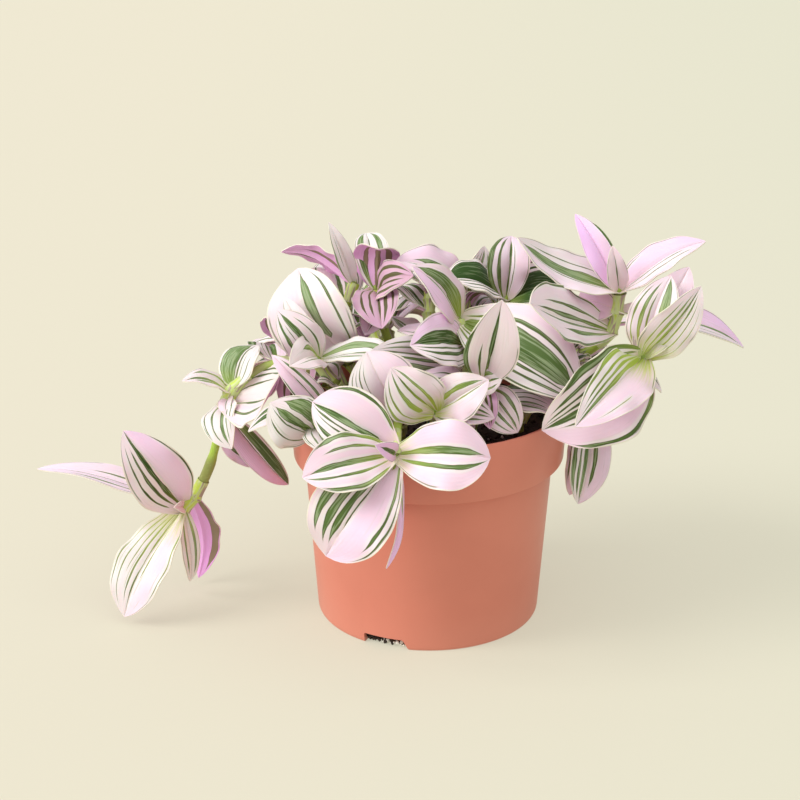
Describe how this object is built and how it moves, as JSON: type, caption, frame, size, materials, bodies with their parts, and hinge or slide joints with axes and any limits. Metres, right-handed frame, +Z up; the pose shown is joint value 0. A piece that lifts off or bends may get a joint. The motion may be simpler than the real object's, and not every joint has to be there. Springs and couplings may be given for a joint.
{
  "type": "potted trailing tradescantia plant",
  "caption": "Trailing plant with pointed, striped, arching leaves on jointed stems, standing in soil in a thin tapered pot with a deep collar and a notched foot ring.",
  "frame": {"origin": "centre of the pot's underside, on the surface that it stands on", "axes": "+Z up the pot's axis; +X to the right in the picture, along the plant's widest spread; the picture looks along +Y"},
  "size_m": [0.3064, 0.1732, 0.1785],
  "materials": {
    "pot": "moulded terracotta-coloured plastic, satin outside",
    "soil": "crumbly dark peat",
    "foliage": "pale pink and white leaves striped green, lilac underneath, on yellow-green stems"
  },
  "bodies": {
    "root": {"pot": "pot", "soil": "soil", "stem_left_trailing": "foliage", "stem_left_rosette": "foliage", "stem_left_low": "foliage", "stem_left_high": "foliage", "stem_top_left": "foliage", "stem_top_centre": "foliage", "stem_centre": "foliage", "stem_centre_front": "foliage", "stem_front_middle": "foliage", "stem_front_trailing": "foliage", "stem_right_upright": "foliage", "stem_right_trailing": "foliage", "stem_right_low": "foliage", "stem_top_right": "foliage", "stem_back_1": "foliage", "stem_back_2": "foliage", "stem_back_3": "foliage", "stem_back_4": "foliage", "stem_back_5": "foliage", "stem_back_6": "foliage", "stem_back_7": "foliage"}
  },
  "joints": []
}
